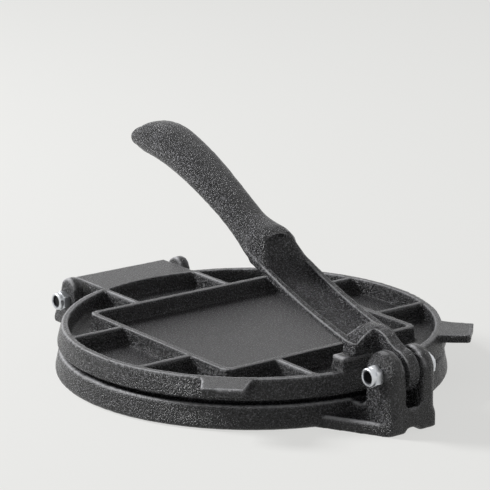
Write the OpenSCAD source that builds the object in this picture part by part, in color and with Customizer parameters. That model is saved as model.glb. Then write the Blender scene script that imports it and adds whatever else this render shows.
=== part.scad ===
// Tortilla press: two round cast-iron plates hinged together at the back, and
// a cast lever that pivots in a clevis at the front and bears down on the lid.
//
// Origin: on the axis of the round plates, in the plane the base stands on.
// X runs from the hinge bolt (-X) to the lever's clevis (+X), Y lies along
// both bolts with the lock nuts at the -Y end, and Z is up. Millimetres.

/* [Press plates] */
// Diameter of the lid across the top of its rim
lid_d = 203; // [194:1:212]
// Height of the lid's outer wall
lid_h = 11; // [10:0.5:14]
// Thickness of the lid's plate under its pockets
lid_plate = 3.8; // [3:0.2:5]
// Width of the lid's rim at the top
lid_rim = 3.8; // [3:0.2:6]
// How far the lid's wall spreads from top to bottom
lid_flare = 2.6; // [1:0.2:4]
// Height of the base's outer wall
base_h = 12.7; // [12:0.5:18]
// Thickness of the base's plate over its pockets
base_plate = 4.2; // [3:0.2:6]
// How far the base's top edge stands out beyond the lid's top edge
base_step = 1.8; // [0.6:0.2:3]
// How far the base's wall spreads from top to bottom
base_flare = 1.9; // [1:0.2:4]
// Width of the base's rim where it stands on the table
base_rim = 6; // [4:0.5:9]
// Height of the open groove between the two rims
groove_h = 2.6; // [1.6:0.2:4]
// Width of the groove, from the lid's wall in to the press faces
groove_w = 5; // [3:0.5:8]
// Clearance between the closed press faces
press_gap = 0.3; // [0.2:0.1:0.8]

/* [Ribs] */
// Distance from the middle of the lid to the outside of its square of ribs
frame_half = 63; // [55:1:66]
// Width of a rib at its top
rib_w = 3.5; // [2.5:0.5:5]
// How much each side of a rib leans out from top to bottom
rib_draft = 0.7; // [0.3:0.1:1]
// Radius of the square's corners
frame_r = 5; // [3:1:9]
// Distance of each rib outside the square from the middle line
spur_y = 30.5; // [26:0.5:36]

/* [Lift tabs and press pad] */
// How far a lift tab reaches out beyond the lid's top edge
tab_out = 16.5; // [12:0.5:22]
// Width of a lift tab at its end
tab_w = 22.5; // [16:0.5:30]
// Thickness of a lift tab
tab_t = 4.5; // [3:0.5:6]
// Direction of the tabs, either side of the line from hinge to clevis
tab_angle = 44; // [40:1:50]
// Length of the press pad across the lid
pad_l = 35; // [24:1:40]
// Width of the press pad, from hinge side to clevis side
pad_w = 9.5; // [8:0.5:11]
// Height of the press pad above the lid
pad_h = 6.9; // [6:0.1:8]

/* [Hinge] */
// Distance of the hinge bolt behind the lid's top edge
hinge_out = 19.5; // [17:0.5:24]
// Height of the hinge bolt over the table
hinge_z = 15.4; // [14:0.2:17]
// Width of the lid's hinge block, along the bolt
block_w = 62; // [50:1:66]
// Distance from the hinge bolt to the top edge at the back of the hinge block
block_back = 4.5; // [3:0.5:6]
// Radius of the hinge block round its bolt
knuckle_r = 6.8; // [6:0.2:8]
// Space between the hinge block and each ear of the base
hinge_side_gap = 2.8; // [1:0.2:4]
// Thickness of each hinge ear
hinge_ear_t = 6.5; // [5:0.5:9]
// Radius of the top of a hinge ear
hinge_ear_r = 7; // [6.6:0.2:8]
// Height of the round top's centre over the hinge bolt
hinge_ear_rise = 6; // [3:0.5:7]
// How far the round top's centre lies in front of the hinge bolt
hinge_ear_lean = 2.4; // [0:0.2:4]

/* [Clevis] */
// Distance of the lever's bolt in front of the lid's top edge
clevis_out = 20.8; // [20.4:0.1:24]
// Height of the lever's bolt over the table
clevis_z = 30; // [29:0.2:33]
// Radius of the clevis ears round the bolt
clevis_r = 11.5; // [10:0.1:13]
// Width of the clevis over both ears
clevis_w = 30.2; // [29:0.2:36]
// Radius of the clevis's rounded outer edges
ear_round = 2.5; // [1:0.5:4]
// Width of the slot for the lever, at the bolt
slot_w = 11; // [10:0.5:14]
// How much the slot narrows towards its floor
slot_draft = 2.4; // [0:0.2:3]
// Height of the slot's floor over the table
slot_floor = 13.4; // [12:0.2:17]
// Width of the arch under the clevis, between its two feet
arch_w = 9.5; // [6:0.5:14]
// Height of the arch
arch_h = 3; // [2:0.5:5]
// Height of the foot that spreads from the clevis to the base
foot_h = 6.5; // [4:0.5:9]
// Width of the foot where it leaves the base
foot_w = 76; // [60:1:90]

/* [Lever] */
// Width of the lever's arm
arm_w = 30.4; // [28:0.4:32]
// Height of the arm's top over the bolt, straight above it
arm_rise = 7.2; // [6:0.1:9]
// Thickness of the arm half way along
arm_t = 5.6; // [5:0.2:8]
// Thickness of the arm at its edges
arm_edge = 2.2; // [1.6:0.2:3]
// Width of the border beside the sunk panel, at the shoulder
border_w = 3.2; // [3:0.2:5]
// Depth of the panel at the shoulder
panel_deep = 3.6; // [2:0.2:4]
// Thickness of the tongue and of the web under the arm
tongue_t = 7.1; // [5:0.1:8]
// Radius of the tongue's round end
tongue_r = 11.3; // [9.5:0.1:12]
// Radius of the cam that presses on the pad
cam_r = 7; // [5:0.5:9]
// Radius of the crown over the cam
crown_r = 14; // [13:0.5:16]
// Distance from the lever's bolt back to the handle's end
handle_reach = 221; // [212:1:236]
// Height of the handle's end over the lever's bolt
handle_rise = 82; // [74:0.2:90]
// Width of the handle at its widest, near the end
handle_w = 26; // [20:1:30]
// Thickness of the handle at its thickest, near the end
handle_t = 20.5; // [16:0.5:22]

/* [Bolts and lock nuts] */
// Diameter of both bolts
bolt_d = 6; // [5:0.5:6.5]
// Width of a bolt's hexagonal head across its flats
head_af = 10; // [9:0.5:12]
// Height of a bolt's head
head_h = 4; // [3:0.2:5]
// Width of a lock nut across its flats
nut_af = 10; // [9:0.5:12]
// Length of a lock nut
nut_l = 6.4; // [5.5:0.1:8]
// Length of a lock nut's round collar
collar_l = 2.6; // [2.2:0.1:4]
// Clearance all round a bolt in the part that turns on it
run_clear = 0.06; // [0.02:0.01:0.09]
// Clearance all round a bolt in the part that holds it
hold_clear = 0.05; // [0.02:0.01:0.09]

/* [Hidden] */

iron = "dimgray";
zinc = "lightgray";
nylon = "slategray";
$fn = 72;
eps = 0.01;
far = 400;

// Heights of the closed press
lid_r = lid_d / 2;
base_r = lid_r + base_step;
lid_edge_z = base_h + groove_h;
lid_top = lid_edge_z + lid_h;
land_h = (groove_h - press_gap) / 2;
base_press_z = base_h + land_h;
lid_press_z = lid_edge_z - land_h;
lid_floor = lid_press_z + lid_plate;
base_ceiling = base_press_z - base_plate;
press_r = lid_r - groove_w + lid_flare;
pocket_deep = lid_top - lid_floor;
pocket_r = lid_r - lid_rim;
foot_round = 2.5;
edge_round = 1;
// The ribs under the base stop short of the table
base_lift = 2;

// Lift tabs and hinge
tab_reach = lid_r + tab_out;
tab_root = 3;
hinge_back = lid_r + hinge_out;
hinge_x = -hinge_back;
block_half = block_w / 2;
ear_in = block_half + hinge_side_gap;
ear_out = ear_in + hinge_ear_t;
ear_base_front = 26;

// Clevis
clevis_half = clevis_w / 2;
clevis_front = lid_r + clevis_out;
clevis_toe = clevis_front + clevis_r;
// The hinge lugs stand as far back as the clevis stands forward
ear_base_back = clevis_toe - hinge_back;

// Press pad: its edge lies a little ahead of the cam's middle
cam_u = 26;
pad_ahead = 3.2;
pad_front = clevis_front - cam_u + pad_ahead;
pad_top = lid_top + pad_h;
pad_slope = 1.2;

// Nylon ring inside a lock nut, and the lip of the collar over it
insert_r = bolt_d / 2 + 0.9;
insert_l = 1.7;
lip = 0.5;

// Lever, in its own frame: the bolt's axis is the origin, u runs back from it
// to the handle and v runs up
cam_gap = 0.3;
cam_v = pad_top + cam_gap - clevis_z + cam_r;
end_top = [13.7, 17.3];
end_foot = [19.3, 6];
arm_back_u = 108;
arm_corner = 8.5;
arm_bevel = 3.4;
arm_slope = 0.166;
arm_sweep = 0.0014;
function arm_top(u) = arm_rise + arm_slope * u + arm_sweep * u * u;
function arm_deep(u) = arm_t + 3.4 * pow(max(0, (u - 60) / (arm_back_u - 60)), 2);
panel_u0 = 26.5;
panel_u1 = 99.5;
panel_thin = 1.8;
panel_taper = 1.4;
panel_corner = 3.5;
crown_top = 18.6;
crown_bevel = 3.5;
web_deep = 5;
web_sink = 0.5;
// The tongue's crest between its round end and the crown
crest = [for (c = [[0.38, 1.21], [0.7, 1.44], [1.09, 1.58]]) c * tongue_r];
// The hollow in the handle's front end, where the arm's panel runs into it
scoop_r = 12;
scoop = [97, 36.5];
scoop_slope = 0.42;

// The handle, from its end to the shoulder. Each row gives a station's
// distance along and its height, counted from the shoulder as shares of the
// handle's reach and rise, then its thickness and width as shares of the
// handle's own
shoulder = [103.3, 40];
stations = [[1, 0.96, 0.605, 0.935], [0.938, 0.969, 0.885, 1], [0.818, 0.94, 1, 0.99],
            [0.684, 0.837, 0.925, 0.96], [0.551, 0.698, 0.863, 0.935],
            [0.418, 0.528, 0.785, 0.89], [0.297, 0.36, 0.73, 0.858],
            [0.185, 0.192, 0.722, 0.877], [0.093, 0.079, 0.93, 0.98],
            [0.043, 0.032, 0.99, 1.08], [0, 0, 0.88, 1.09]];
last = len(stations) - 1;
steps = 3;
handle_sides = 24;
handle_square = 2.4;
end_r = 6;
front_r = 3.5;
cap_rings = 5;

// A smooth curve through the stations: a Catmull-Rom spline at t from 0 to
// the number of the last station
function station(i) = stations[max(0, min(last, i))];
function along(t) = let (i = min(last - 1, floor(t)), f = t - i, a = station(i - 1),
    b = station(i), c = station(i + 1), d = station(i + 2))
    (2 * b + (c - a) * f + (2 * a - 5 * b + 4 * c - d) * f * f
     + (3 * b - a - 3 * c + d) * f * f * f) / 2;
function spine(t) = [shoulder[0] + along(t)[0] * (handle_reach - end_r - shoulder[0]),
                     shoulder[1] + along(t)[1] * (handle_rise - shoulder[1])];
function heading(t) = let (a = max(0, t - 0.05), b = min(last, t + 0.05),
    d = spine(b) - spine(a)) d / norm(d);
function signed_pow(x, n) = sign(x) * pow(abs(x), n);

// ---------------------------------------------------------------- helpers

// Extrudes a profile drawn in X and Z along Y, centred
module along_y(w) {
    rotate([90, 0, 0]) linear_extrude(w, center = true) children();
}

// A rod along Y, with its middle at y
module rod_y(d, l, y = 0) {
    translate([0, y, 0]) rotate([90, 0, 0]) cylinder(h = l, d = d, center = true);
}

// A bar along X from x0 to x1 whose sides lean: w is its width at the top
// z1, and it grows by lean on each side down to z0
module leaning_bar(x0, x1, w, z0, z1, lean) {
    translate([x0, 0, 0]) rotate([90, 0, 90]) linear_extrude(x1 - x0)
        polygon([[-w / 2, z1], [w / 2, z1], [w / 2 + lean, z0], [-w / 2 - lean, z0]]);
}

// A square block with round corners whose sides lean: half is its half width
// at the top z1, and it grows by lean on each side down to z0
module leaning_square(half, r, z0, z1, lean) {
    for (a = [0, 90]) rotate(a)
        leaning_bar(r - half, half - r, 2 * half, z0, z1, lean);
    for (a = [0:90:270]) rotate(a) translate([half - r, half - r, z0])
        cylinder(h = z1 - z0, r1 = r + lean, r2 = r);
}

// The rib pattern that both castings share, as seen from its open side:
// a square of ribs, and two ribs from each side of it out to the rim
module rib_square(z0, z1) {
    difference() {
        leaning_square(frame_half, frame_r, z0 - eps, z1, rib_draft);
        leaning_square(frame_half - rib_w, frame_r - rib_w / 2,
                       z0 - 2 * eps, z1 + eps, -rib_draft);
    }
}

module rib_spurs(z0, z1) {
    for (a = [0:90:270], side = [-1, 1]) rotate(a) translate([0, side * spur_y, 0])
        leaning_bar(frame_half - rib_w / 2, lid_r, rib_w, z0 - eps, z1, rib_draft);
}

// ------------------------------------------------------------------- base

module base_disc() {
    rotate_extrude($fn = 180) {
        polygon([[0, 0], [base_r + base_flare - foot_round, 0],
                 [base_r + base_flare, foot_round],
                 [base_r, base_h - edge_round], [base_r - edge_round, base_h],
                 [press_r, base_h], [press_r - land_h, base_press_z],
                 [0, base_press_z]]);
        translate([base_r + base_flare - foot_round, foot_round]) circle(foot_round, $fn = 48);
        translate([base_r - edge_round, base_h - edge_round]) circle(edge_round, $fn = 32);
    }
}

module base_pockets() {
    difference() {
        translate([0, 0, -eps])
            cylinder(h = base_ceiling + eps, r1 = base_r - base_rim,
                     r2 = base_r - base_rim - rib_draft, $fn = 180);
        rotate([180, 0, 0]) {
            rib_square(-base_ceiling, -base_lift);
            rib_spurs(-base_ceiling, -base_lift);
        }
    }
}

// One ear for the hinge bolt, with the lug that carries it
module hinge_ear_shape() {
    top = [hinge_x + hinge_ear_lean, hinge_z + hinge_ear_rise];
    translate(top) circle(hinge_ear_r);
    polygon([[top[0] - hinge_ear_r, top[1]], [top[0] + hinge_ear_r, top[1]],
             [top[0] + hinge_ear_r, base_h], [hinge_x + ear_base_front, base_h],
             [hinge_x + ear_base_front, 0], [hinge_x - ear_base_back, 0],
             [hinge_x - ear_base_back, edge_round * 3]]);
}

// The clevis seen from the side: a block with a round top about the bolt
module clevis_shape() {
    translate([clevis_front, clevis_z]) circle(clevis_r);
    polygon([[clevis_front - clevis_r, clevis_z], [clevis_front + clevis_r, clevis_z],
             [clevis_toe, foot_round], [clevis_toe - foot_round, 0],
             [base_r - base_rim, 0], [base_r - base_rim, base_h - edge_round],
             [clevis_front - clevis_r, base_h - edge_round]]);
    translate([clevis_toe - foot_round, foot_round]) circle(foot_round, $fn = 48);
}

// Plan of the clevis, and its section through the bolt: a rectangle with
// round corners, centred
module clevis_plan() {
    square([2 * (clevis_r - ear_round), clevis_w], center = true);
    square([2 * clevis_r, clevis_w - 2 * ear_round], center = true);
    for (x = [-1, 1], y = [-1, 1])
        translate([x * (clevis_r - ear_round), y * (clevis_half - ear_round)])
            circle(ear_round, $fn = 48);
}

// The clevis with its outer edges rounded, down to where it joins the base
module clevis() {
    intersection() {
        along_y(clevis_w) clevis_shape();
        union() {
            translate([clevis_front, 0, clevis_z]) rotate([90, 0, 0]) rotate_extrude()
                intersection() {
                    clevis_plan();
                    translate([0, -clevis_w]) square([far, 2 * clevis_w]);
                }
            translate([clevis_front, 0, 0]) linear_extrude(clevis_z) clevis_plan();
            translate([0, -clevis_half, 0]) cube([clevis_front, clevis_w, base_h]);
        }
    }
}

module clevis_foot() {
    linear_extrude(foot_h)
        polygon([[base_r - foot_h * 2, foot_w / 2], [base_r - foot_h * 2, -foot_w / 2],
                 [clevis_toe - foot_round, -clevis_half], [clevis_toe - foot_round, clevis_half]]);
}

module clevis_slot() {
    lean = slot_draft / (clevis_z - slot_floor) * clevis_r;
    rotate([90, 0, 90]) linear_extrude(far)
        polygon([[-slot_w / 2 - lean / 2, clevis_z + clevis_r + eps],
                 [slot_w / 2 + lean / 2, clevis_z + clevis_r + eps],
                 [slot_w / 2 - slot_draft / 2, slot_floor],
                 [-slot_w / 2 + slot_draft / 2, slot_floor]]);
}

// The hole for a bolt through everything between its two outer faces
module bolt_hole(face) {
    rod_y(bolt_d + 2 * hold_clear, 2 * face + 2 * eps);
}

module base() {
    color(iron) difference() {
        union() {
            difference() {
                base_disc();
                base_pockets();
            }
            for (side = [-1, 1]) translate([0, side * (ear_in + ear_out) / 2, 0])
                along_y(hinge_ear_t) hinge_ear_shape();
            clevis();
            clevis_foot();
        }
        translate([clevis_front - clevis_r - eps, 0, 0]) clevis_slot();
        translate([base_r - 2 * base_rim, -arch_w / 2, -eps]) cube([far, arch_w, arch_h + eps]);
        translate([hinge_x, 0, hinge_z]) bolt_hole(ear_out);
        translate([clevis_front, 0, clevis_z]) bolt_hole(clevis_half);
    }
}

// -------------------------------------------------------------------- lid

module lid_disc() {
    rotate_extrude($fn = 180) {
        polygon([[0, lid_press_z], [press_r - land_h, lid_press_z],
                 [press_r, lid_edge_z], [lid_r + lid_flare - edge_round, lid_edge_z],
                 [lid_r + lid_flare, lid_edge_z + edge_round],
                 [lid_r, lid_top], [0, lid_top]]);
        translate([lid_r + lid_flare - edge_round, lid_edge_z + edge_round])
            circle(edge_round, $fn = 32);
    }
}

module lid_pockets() {
    difference() {
        translate([0, 0, lid_floor])
            cylinder(h = pocket_deep + eps, r1 = pocket_r - rib_draft, r2 = pocket_r, $fn = 180);
        rib_square(lid_floor, lid_top + 2 * eps);
        rib_spurs(lid_floor, lid_top + 2 * eps);
    }
}

// The block that reaches back from the lid's rim and turns on the hinge bolt
module hinge_block() {
    along_y(block_w) {
        translate([hinge_x, hinge_z]) circle(knuckle_r);
        polygon([[-pocket_r + eps, lid_top], [hinge_x - block_back, lid_top],
                 [hinge_x - knuckle_r, hinge_z], [hinge_x, hinge_z - knuckle_r],
                 [-lid_r - lid_flare - edge_round, lid_edge_z + eps],
                 [-pocket_r + eps, lid_edge_z + eps]]);
    }
}

// A lift tab along X: it spreads where it springs from the rim, and its
// end has small chamfers
module lift_tab() {
    half = [[lid_r - lid_rim / 2, tab_w / 2 + tab_root],
            [lid_r + tab_root, tab_w / 2 + tab_root * 0.4],
            [tab_reach - edge_round, tab_w / 2], [tab_reach, tab_w / 2 - edge_round]];
    translate([0, 0, lid_top - tab_t]) linear_extrude(tab_t)
        polygon([each half, for (i = [3:-1:0]) [half[i][0], -half[i][1]]]);
}

// The bar on the rim that the lever's cam bears on, with sloping ends
module press_pad() {
    translate([pad_front - pad_w, 0, 0]) rotate([90, 0, 90]) linear_extrude(pad_w)
        polygon([[-pad_l / 2 - pad_slope, lid_floor], [-pad_l / 2, pad_top],
                 [pad_l / 2, pad_top], [pad_l / 2 + pad_slope, lid_floor]]);
}

module lid() {
    color(iron) difference() {
        union() {
            difference() {
                lid_disc();
                lid_pockets();
            }
            hinge_block();
            for (side = [-1, 1]) rotate(side * tab_angle) lift_tab();
            press_pad();
        }
        translate([hinge_x, 0, hinge_z]) rod_y(bolt_d + 2 * run_clear, block_w + 2 * eps);
    }
}

// ------------------------------------------------------------------ lever

// Section of the arm at u: a flat plate with its lower edges bevelled off
function arm_ring(u) = let (b = arm_w / 2, top = arm_top(u), t = arm_deep(u))
    [[u, -b, top], [u, b, top], [u, b, top - arm_edge], [u, b - arm_bevel, top - t],
     [u, arm_bevel - b, top - t], [u, -b, top - arm_edge]];

// Joins rings of n points each into a closed skin
module skin(rings, n) {
    k = len(rings);
    polyhedron([for (r = rings) each r], concat(
        [[for (i = [n - 1:-1:0]) i]],
        [[for (i = [0:n - 1]) (k - 1) * n + i]],
        [for (r = [0:k - 2], i = [0:n - 1]) let (j = (i + 1) % n)
            each [[r * n + i, r * n + j, (r + 1) * n + i],
                  [(r + 1) * n + i, r * n + j, (r + 1) * n + j]]]),
        convexity = 6);
}

// Side view of everything behind the slanting end of the arm
module behind_end() {
    polygon([end_top + (end_top - end_foot), end_foot - (end_top - end_foot),
             [far, -far / 4], [far, far / 4]]);
}

// Plan of the arm: round corners where it narrows to the tongue
module arm_plan() {
    u = (end_top[0] + end_foot[0]) / 2;
    translate([u + arm_corner, -arm_w / 2]) square([far, arm_w]);
    translate([0, arm_corner - arm_w / 2]) square([far, arm_w - 2 * arm_corner]);
    for (side = [-1, 1]) translate([u + arm_corner, side * (arm_w / 2 - arm_corner)])
        circle(arm_corner);
}

// The arm's broad end: an arched crown with the cam for its sole, bevelled
// where it meets the arm's end face
module arm_head() {
    crown_axis = crown_top - crown_r;
    intersection() {
        along_y(far) head_side();
        union() {
            translate([0, 0, crown_axis]) rotate([0, 90, 0]) cylinder(h = panel_u0 + 2, r = crown_r);
            translate([0, 1 - crown_r, crown_axis - far]) cube([far, 2 * crown_r - 2, far]);
        }
    }
}

module head_side() {
    translate([cam_u, cam_v]) circle(cam_r);
    polygon([end_top - (end_top - end_foot) / 4, [end_top[0] + crown_bevel, crown_top],
             [panel_u0 - 1.5, crown_top + 1],
             [panel_u0, arm_top(panel_u0) - arm_edge],
             [cam_u + 2 * cam_r, arm_top(cam_u + 2 * cam_r) - arm_t],
             [cam_u + cam_r, cam_v], [cam_u + cam_r * cos(50), cam_v - cam_r * sin(50)],
             [cam_u, cam_v], [cam_u - cam_r * cos(65), cam_v - cam_r * sin(65)],
             end_foot + (end_foot - end_top) / 8]);
}

// Side view of the tongue and of the web that stiffens the arm
module web_side() {
    circle(tongue_r);
    polygon([[0, tongue_r], each crest, [cam_u - 1.4 * cam_r, crown_top - web_sink],
             [cam_u, crown_top - 2 * web_sink], [cam_u, cam_v],
             [shoulder[0], arm_top(shoulder[0]) - arm_t],
             [shoulder[0], arm_top(shoulder[0]) - arm_deep(shoulder[0]) - web_deep],
             [cam_u + cam_r, cam_v], [cam_u, cam_v - cam_r],
             [cam_u - cam_r * sin(30), cam_v - cam_r * cos(30)],
             [cam_u - cam_r * sin(65), cam_v - cam_r * cos(65)],
             [tongue_r * 0.87, -tongue_r * 0.5], [0, 0]]);
}

// Plan and side view of the sunk panel, which narrows towards the cam
module panel_plan() {
    w0 = arm_w / 2 - border_w - panel_taper;
    w1 = arm_w / 2 - border_w;
    r = panel_corner;
    polygon([[panel_u0, r - w0], [panel_u0 + r, -w0], [panel_u1, -w1],
             [panel_u1, w1], [panel_u0 + r, w0], [panel_u0, w0 - r]]);
    for (side = [-1, 1]) translate([panel_u0 + r, side * (w0 - r)]) circle(r);
}

module panel_side() {
    steps_u = [for (i = [0:8]) panel_u0 + (panel_u1 - panel_u0) * i / 8];
    polygon(concat([for (u = steps_u) [u, arm_top(u) - panel_thin
        - (panel_deep - panel_thin) * (u - panel_u0) / (panel_u1 - panel_u0)]],
        [[panel_u1, far / 4], [panel_u0, far / 4]]));
}

// Side view of the space over the panel's floor, carried on past its end
module scoop_side() {
    floor_v = arm_top(panel_u1) - panel_deep;
    rise = scoop_slope * scoop_r;
    polygon([[panel_u1 - scoop_r, floor_v - rise], [panel_u1 + scoop_r, floor_v + rise],
             [panel_u1 + scoop_r, far / 4], [panel_u1 - scoop_r, far / 4]]);
}

// The handle: rounded sections square to the spine, drawn in by inset all
// round and pushed along the spine where the ends are rounded off
function handle_ring(t, inset, push) = let (
        d = heading(t), p = spine(t) + d * push, up = [d[1], -d[0]],
        h = along(t)[2] * handle_t / 2 - inset, b = along(t)[3] * handle_w / 2 - inset)
    [for (i = [0:handle_sides - 1]) let (a = 360 * i / handle_sides,
        y = b * signed_pow(cos(a), 2 / handle_square),
        n = h * signed_pow(sin(a), 2 / handle_square))
        [p[0] + up[0] * n, y, p[1] + up[1] * n]];

module handle() {
    skin(concat(
        [for (i = [0:cap_rings - 1]) let (a = 90 * i / cap_rings)
            handle_ring(0, end_r * (1 - sin(a)), -end_r * cos(a))],
        [for (i = [0:last * steps]) handle_ring(i / steps, 0, 0)],
        [for (i = [cap_rings - 1:-1:0]) let (a = 90 * i / cap_rings)
            handle_ring(last, front_r * (1 - sin(a)), front_r * cos(a))]),
        handle_sides);
}

module lever() {
    color(iron) translate([clevis_front, 0, clevis_z]) mirror([1, 0, 0]) difference() {
        union() {
            intersection() {
                union() {
                    skin([for (i = [0:14]) arm_ring(i * arm_back_u / 14)], 6);
                    arm_head();
                }
                along_y(far) behind_end();
                translate([0, 0, -far / 4]) linear_extrude(far) arm_plan();
            }
            along_y(tongue_t) web_side();
            handle();
        }
        intersection() {
            translate([0, 0, -far / 4]) linear_extrude(far) panel_plan();
            along_y(far) panel_side();
        }
        intersection() {
            translate([scoop[0], 0, scoop[1]]) sphere(scoop_r);
            along_y(far) scoop_side();
        }
        rod_y(bolt_d + 2 * run_clear, arm_w);
    }
}

// -------------------------------------------------------- bolts and nuts

// A bolt along Y whose head bears on the face at +face and whose thread
// ends just inside the lock nut at the other side. The shank runs up into
// the head
module bolt(face) {
    shank_end = -face - nut_l + 1;
    color(zinc) rotate([-90, 0, 0]) {
        translate([0, 0, shank_end]) cylinder(h = face + head_h / 2 - shank_end, d = bolt_d);
        translate([0, 0, face]) intersection() {
            rotate(30) cylinder(h = head_h, d = head_af / cos(30), $fn = 6);
            cylinder(h = head_h, r1 = head_af + 1.5, r2 = head_af / 2 - 0.1);
        }
    }
}

// A lock nut along Y: hexagon against the face, round collar outwards
module lock_nut(face) {
    collar_r = nut_af / 2 - 0.15;
    color(zinc) rotate([90, 0, 0]) translate([0, 0, face]) difference() {
        union() {
            intersection() {
                rotate(30) cylinder(h = nut_l - collar_l, d = nut_af / cos(30), $fn = 6);
                cylinder(h = nut_l, r1 = nut_af / cos(30) / 2 - 0.3, r2 = nut_af + 1);
                cylinder(h = nut_l - collar_l, r1 = nut_af + 1, r2 = nut_af / 2 + 0.1);
            }
            rotate_extrude() collar_profile(collar_r);
        }
        translate([0, 0, -eps]) cylinder(h = nut_l + 2 * eps, r = bolt_d / 2 + hold_clear / 2);
        translate([0, 0, nut_l - lip - insert_l]) cylinder(h = insert_l, r = insert_r + hold_clear / 2);
        translate([0, 0, nut_l - lip - eps]) cylinder(h = lip + 2 * eps, r = insert_r - 0.4);
    }
}

module collar_profile(r) {
    square([r, nut_l - 1]);
    square([r - 1, nut_l]);
    translate([r - 1, nut_l - 1]) circle(1, $fn = 32);
}

// The nylon ring that grips the thread inside a lock nut's collar
module lock_ring(face) {
    color(nylon) rotate([90, 0, 0]) translate([0, 0, face + nut_l - lip - insert_l]) difference() {
        cylinder(h = insert_l, r = insert_r);
        translate([0, 0, -eps]) cylinder(h = insert_l + 2 * eps, r = bolt_d / 2 + hold_clear / 2);
    }
}

module at_hinge() {
    translate([hinge_x, 0, hinge_z]) children();
}

module at_clevis() {
    translate([clevis_front, 0, clevis_z]) children();
}

module hinge_bolt() {
    at_hinge() bolt(ear_out);
}

module hinge_nut() {
    at_hinge() lock_nut(ear_out);
}

module hinge_nut_insert() {
    at_hinge() lock_ring(ear_out);
}

module lever_bolt() {
    at_clevis() bolt(clevis_half);
}

module lever_nut() {
    at_clevis() lock_nut(clevis_half);
}

module lever_nut_insert() {
    at_clevis() lock_ring(clevis_half);
}

base();
lid();
lever();
hinge_bolt();
hinge_nut();
hinge_nut_insert();
lever_bolt();
lever_nut();
lever_nut_insert();
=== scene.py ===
# %% [markdown]
# # A cast-iron tortilla press
#
# Three sand castings and two bolts. The castings are what the eye reads: black
# oiled iron with the grain of the sand still on its walls, and edges that the
# mould has rounded. So most of this lesson is about turning exact solids into
# cast ones. The fasteners are small, bright and turned, so they are drawn as
# exact surfaces instead.

import bmesh
import bpy
import numpy as np
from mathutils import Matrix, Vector


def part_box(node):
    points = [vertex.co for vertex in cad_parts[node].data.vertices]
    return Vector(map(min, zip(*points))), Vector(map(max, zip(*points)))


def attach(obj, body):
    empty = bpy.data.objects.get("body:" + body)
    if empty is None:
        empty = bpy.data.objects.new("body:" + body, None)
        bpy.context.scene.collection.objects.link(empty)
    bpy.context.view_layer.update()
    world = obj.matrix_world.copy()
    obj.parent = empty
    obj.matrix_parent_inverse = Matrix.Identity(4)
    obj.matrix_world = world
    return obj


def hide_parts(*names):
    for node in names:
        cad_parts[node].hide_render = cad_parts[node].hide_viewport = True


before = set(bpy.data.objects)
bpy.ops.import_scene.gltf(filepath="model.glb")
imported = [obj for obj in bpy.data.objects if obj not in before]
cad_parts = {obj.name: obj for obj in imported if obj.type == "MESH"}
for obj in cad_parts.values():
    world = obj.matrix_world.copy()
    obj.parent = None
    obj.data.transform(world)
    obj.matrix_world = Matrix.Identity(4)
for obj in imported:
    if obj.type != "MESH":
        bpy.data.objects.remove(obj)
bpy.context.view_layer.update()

MM = 0.001

# %% [markdown]
# ## The camera
#
# A long lens from far away keeps the two round plates close to true ellipses.
# The camera stands in front of the lever's clevis and a little to its near
# side, low over the table, and looks at the middle of the press. It could be
# turned with two angles, but a point to look at is easier to choose.

# %% Camera
CAMERA_AT = (989.5, -748.4, 407.1)  # mm
CAMERA_LOOKS_AT = (-2.06, -2.74, 67.3)  # mm
SENSOR = 36  # mm wide
LENS = 178.24  # mm

scene = bpy.context.scene
camera = bpy.data.objects.new("camera", bpy.data.cameras.new("camera"))
scene.collection.objects.link(camera)
camera.data.sensor_width = SENSOR
camera.data.lens = LENS
camera.location = Vector(CAMERA_AT) * MM
line_of_sight = Vector(CAMERA_LOOKS_AT) * MM - camera.location
camera.rotation_euler = line_of_sight.to_track_quat("-Z", "Y").to_euler()
scene.camera = camera
print("camera", round(line_of_sight.length, 3), "m from the press")

# %% [markdown]
# ## Colours
#
# A shader wants light amounts, but we give colours as sRGB hex values.
# One function turns the second into the first.


# %% Colour helper
def linear(hex_colour):
    """Linear RGBA of an sRGB hex value: a power curve with a short straight foot."""
    srgb = np.array([int(hex_colour[i:i + 2], 16) for i in (1, 3, 5)]) / 255
    rgb = np.where(srgb <= 0.04045, srgb / 12.92, ((srgb + 0.055) / 1.055) ** 2.4)
    return (*rgb.tolist(), 1.0)


print("mid grey #808080 is", round(linear("#808080")[0], 3), "of full light")

# %% [markdown]
# ## One helper for shader nodes
#
# Every node below is added by the same function: it sets plain values by name
# and links whatever is given as an output socket. So a material reads from top
# to bottom, in the order in which its nodes work.


# %% Node helper
def add_node(tree, kind, settings=None, **inputs):
    """Adds a node of a kind, sets its properties, and fills or links its inputs.

    An input is named by its socket, with spaces as underscores, or in0, in1
    for the first and second socket.
    """
    node = tree.nodes.new(kind)
    for key, value in (settings or {}).items():
        setattr(node, key, value)
    for key, value in inputs.items():
        number = key[2:] if key.startswith("in") and key[2:].isdigit() else None
        socket = node.inputs[int(number)] if number else node.inputs[key.replace("_", " ")]
        if isinstance(value, bpy.types.NodeSocket):
            tree.links.new(value, socket)
        else:
            socket.default_value = value
    return node


def new_material(name):
    """An empty node material and its tree."""
    material = bpy.data.materials.new(name)
    material.use_nodes = True
    tree = material.node_tree
    tree.nodes.clear()
    return material, tree


print("ready:", add_node.__name__, "and", new_material.__name__)
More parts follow.
